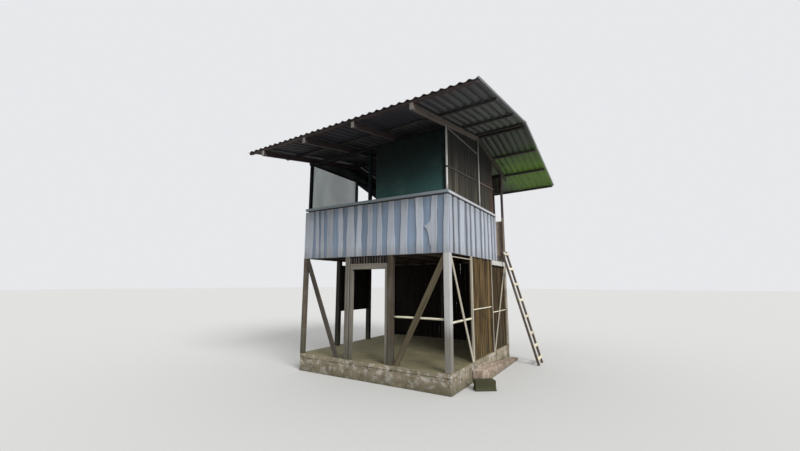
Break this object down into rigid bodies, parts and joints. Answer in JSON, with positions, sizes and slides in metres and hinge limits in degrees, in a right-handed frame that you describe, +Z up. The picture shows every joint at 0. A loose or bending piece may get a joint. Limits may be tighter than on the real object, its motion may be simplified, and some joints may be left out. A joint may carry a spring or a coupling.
{
  "type": "stilt house",
  "caption": "Two-storey timber stilt house: open ground storey on a slab, boarded and netted upper room, wide corrugated gable roof and a leaning ladder.",
  "frame": {"origin": "middle of the roof's plan, on the plane of the lowest ground under the foundation", "axes": "+X to the right of someone facing the front, +Y from the front wall to the back wall, +Z up"},
  "size_m": [5.6659, 7.1714, 5.8732],
  "materials": {
    "concrete": "weathered grey concrete with damp stains",
    "rough_footing": "rough reddish concrete",
    "pale_post": "pale weathered paint on sawn timber",
    "grey_timber": "weathered unpainted timber",
    "brown_timber": "weathered brown timber",
    "door_timber": "pale weathered sawn timber",
    "bare_timber": "pale bare timber",
    "brown_boards": "brown upright boards with dark gaps",
    "dark_boards": "dark upright boards",
    "floor_timber": "unpainted timber in shade",
    "white_board": "white painted board",
    "blue_paint": "blue paint, weathered",
    "pale_paint": "pale lilac-white paint, weathered",
    "rail_paint": "grey-blue paint, weathered",
    "white_pole": "white painted pole",
    "front_net": "dark green woven shade net",
    "side_net": "green woven shade net, light passes through",
    "rafter_timber": "weathered sawn timber",
    "purlin_timber": "dark timber",
    "roof_metal": "corrugated steel sheet, dull zinc with rust at the eave",
    "ladder_timber": "dark timber",
    "rung_timber": "pale bare timber"
  },
  "bodies": {
    "root": {"floor_slab": "concrete", "long_foundation_walls": "concrete", "side_foundation_walls": "concrete", "right_footing": "rough_footing", "front_right_post": "pale_post", "front_left_post": "grey_timber", "door_posts": "brown_timber", "door_jambs": "door_timber", "door_header": "door_timber", "over_door_boards": "brown_boards", "back_lower_posts": "grey_timber", "back_right_post": "brown_timber", "side_studs": "bare_timber", "front_braces": "grey_timber", "side_braces": "bare_timber", "lower_rails": "bare_timber", "right_lower_wall": "brown_boards", "back_lower_wall": "brown_boards", "left_lower_panel": "dark_boards", "floor_beams": "floor_timber", "floor_joists": "floor_timber", "floor_deck": "floor_timber", "entry_board": "white_board", "front_blue_boards": "blue_paint", "front_pale_boards": "pale_paint", "side_blue_boards": "blue_paint", "side_pale_boards": "pale_paint", "front_cap_rail": "rail_paint", "side_cap_rails": "rail_paint", "upper_posts": "brown_timber", "right_side_poles": "white_pole", "wall_plates": "rafter_timber", "side_ties": "rafter_timber", "right_upper_boards": "dark_boards", "back_upper_boards": "dark_boards", "front_shade_net": "front_net", "left_shade_net": "side_net", "back_left_shade_net": "front_net", "front_rafters": "rafter_timber", "back_rafters": "rafter_timber", "roof_purlins": "purlin_timber", "front_roof_sheets": "roof_metal", "back_roof_sheets": "roof_metal", "ridge_cap": "roof_metal", "ladder_rails": "ladder_timber", "ladder_rungs": "rung_timber"}
  },
  "joints": []
}
